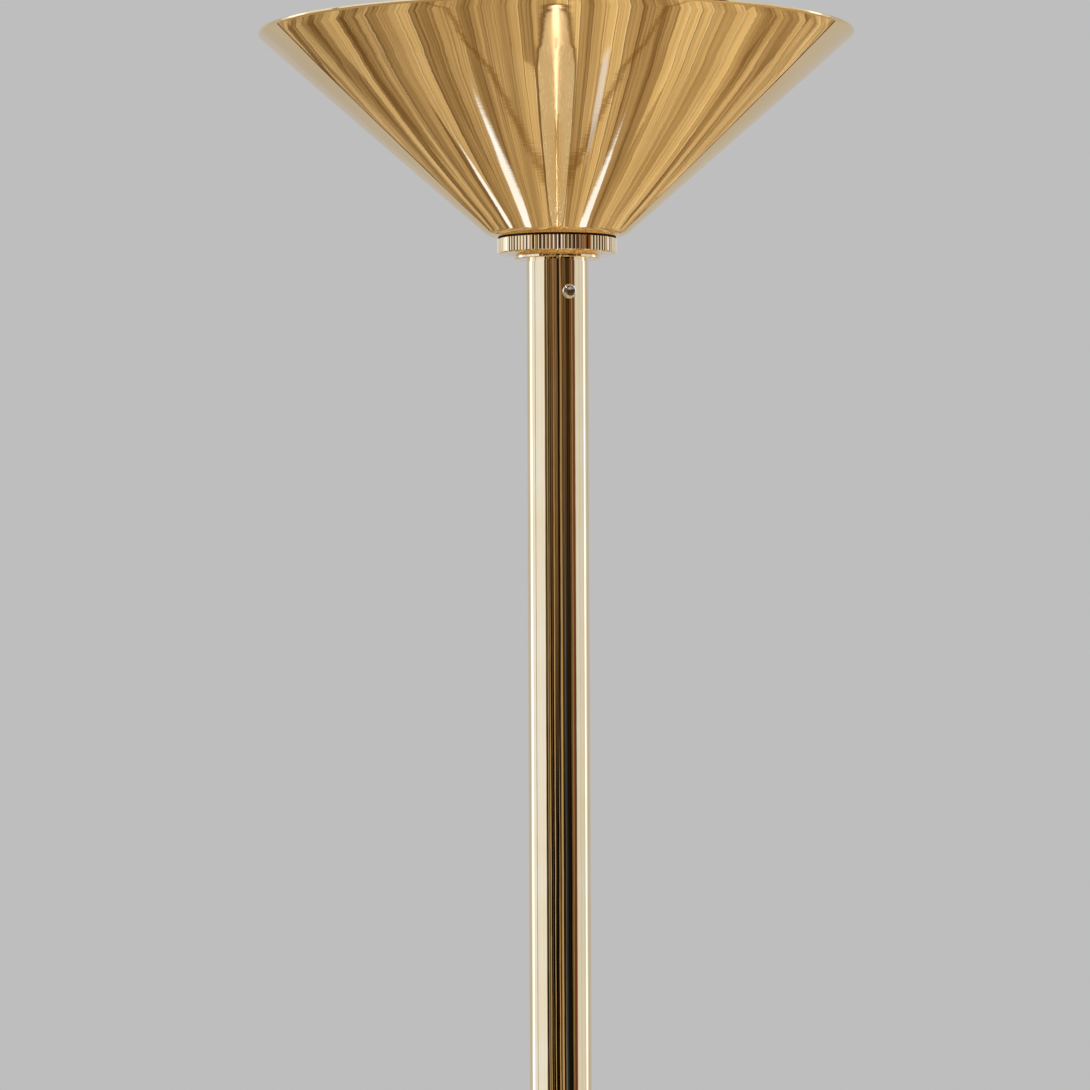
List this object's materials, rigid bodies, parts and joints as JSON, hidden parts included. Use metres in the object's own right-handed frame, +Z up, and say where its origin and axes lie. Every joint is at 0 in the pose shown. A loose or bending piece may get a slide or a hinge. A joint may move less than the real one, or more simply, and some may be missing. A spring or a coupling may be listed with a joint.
{
  "type": "torchiere floor lamp",
  "caption": "Floor uplighter: a conical spun-brass shade on a slim brass pole with fluted ring and a round weighted base.",
  "frame": {"origin": "centre of the base's underside, on the floor", "axes": "+Z up along the pole, -Y the lamp's front (foot switch), +Y the back (cord inlet)"},
  "size_m": [0.296, 0.2974, 1.75],
  "materials": {
    "polished_brass": "mirror polished, lacquered",
    "spun_brass": "spun and polished, fine turning marks",
    "black_gasket": "matt black",
    "zinc_steel": "zinc plated",
    "bright_steel": "bright stainless",
    "spring_steel": "drawn wire",
    "cast_iron": "rough, black enamelled",
    "felt": "black wool felt",
    "steatite": "unglazed white steatite",
    "quartz": "clear quartz",
    "safety_glass": "clear tempered, ground edge",
    "tungsten": "coiled wire",
    "silver_contact": "silver plated",
    "cable_sheath": "black rubber flex",
    "silicone_white": "heat-resistant silicone",
    "core_colours": "coloured insulation",
    "black_plastic": "fine matt",
    "white_plastic": "polyamide"
  },
  "bodies": {
    "stand": {"pole_upper": "polished_brass", "pole_lower": "polished_brass", "pole_joiner": "zinc_steel", "joiner_screw": "bright_steel", "foot_screw": "bright_steel", "pole_cable": "cable_sheath", "pole_bottom_cap": "polished_brass", "base_ring": "polished_brass", "base_gasket": "black_gasket", "base_cover": "spun_brass", "base_weight": "cast_iron", "base_plate": "zinc_steel", "plate_screws": "zinc_steel", "base_felt": "felt", "base_nipple": "zinc_steel", "base_washer": "zinc_steel", "base_nut": "zinc_steel", "base_earth_tag": "zinc_steel", "earth_link": "core_colours", "terminal_block": "white_plastic", "terminal_screws": "bright_steel", "terminal_leads": "core_colours", "switch_leads": "core_colours", "cord_bushing": "black_plastic", "switch_body": "black_plastic", "switch_nut": "polished_brass", "switch_spring": "spring_steel"},
    "head": {"shade": "spun_brass", "shade_gasket": "black_gasket", "fluted_ring": "polished_brass", "pole_top_cap": "polished_brass", "head_nipple": "zinc_steel", "inner_washer": "zinc_steel", "head_nut": "zinc_steel", "lamp_bracket": "zinc_steel", "lampholder_left": "steatite", "lampholder_right": "steatite", "holder_screws": "bright_steel", "fixed_contact": "silver_contact", "contact_spring": "spring_steel", "bulb_envelope": "quartz", "bulb_filament": "tungsten", "bulb_base_left": "steatite", "bulb_base_right": "steatite", "lead_live": "silicone_white", "lead_neutral": "silicone_white", "lead_earth": "silicone_white", "head_earth_tag": "zinc_steel", "head_earth_screw": "polished_brass"},
    "glass": {"glass_cover": "safety_glass"},
    "plunger": {"contact_plunger": "silver_contact"},
    "top_set_screw": {"set_screw": "bright_steel"},
    "button": {"foot_button": "polished_brass"}
  },
  "joints": [
    {"name": "head_turn", "type": "hinge", "parent": "stand", "child": "head", "pos_m": [0, 0, 1.66], "axis": [0, 0, 1], "range_deg": [-170, 170]},
    {"name": "glass_lift", "type": "slide", "parent": "head", "child": "glass", "axis": [0, 0, 1], "range_m": [0, 0.06]},
    {"name": "lamp_contact", "type": "slide", "parent": "head", "child": "plunger", "axis": [1, 0, 0], "range_m": [0, 0.002], "stiffness_N_per_m": 800, "springref_m": -0.002, "deforming": ["contact_spring"]},
    {"name": "set_screw_turn", "type": "hinge", "parent": "stand", "child": "top_set_screw", "pos_m": [0.00468, -0.01159, 1.64484], "axis": [0.3746, -0.9272, 0], "range_deg": [0, 720]},
    {"name": "button_press", "type": "slide", "parent": "stand", "child": "button", "axis": [0, 0, -1], "range_m": [0, 0.004], "stiffness_N_per_m": 1500, "springref_m": -0.004, "deforming": ["switch_spring"]}
  ]
}
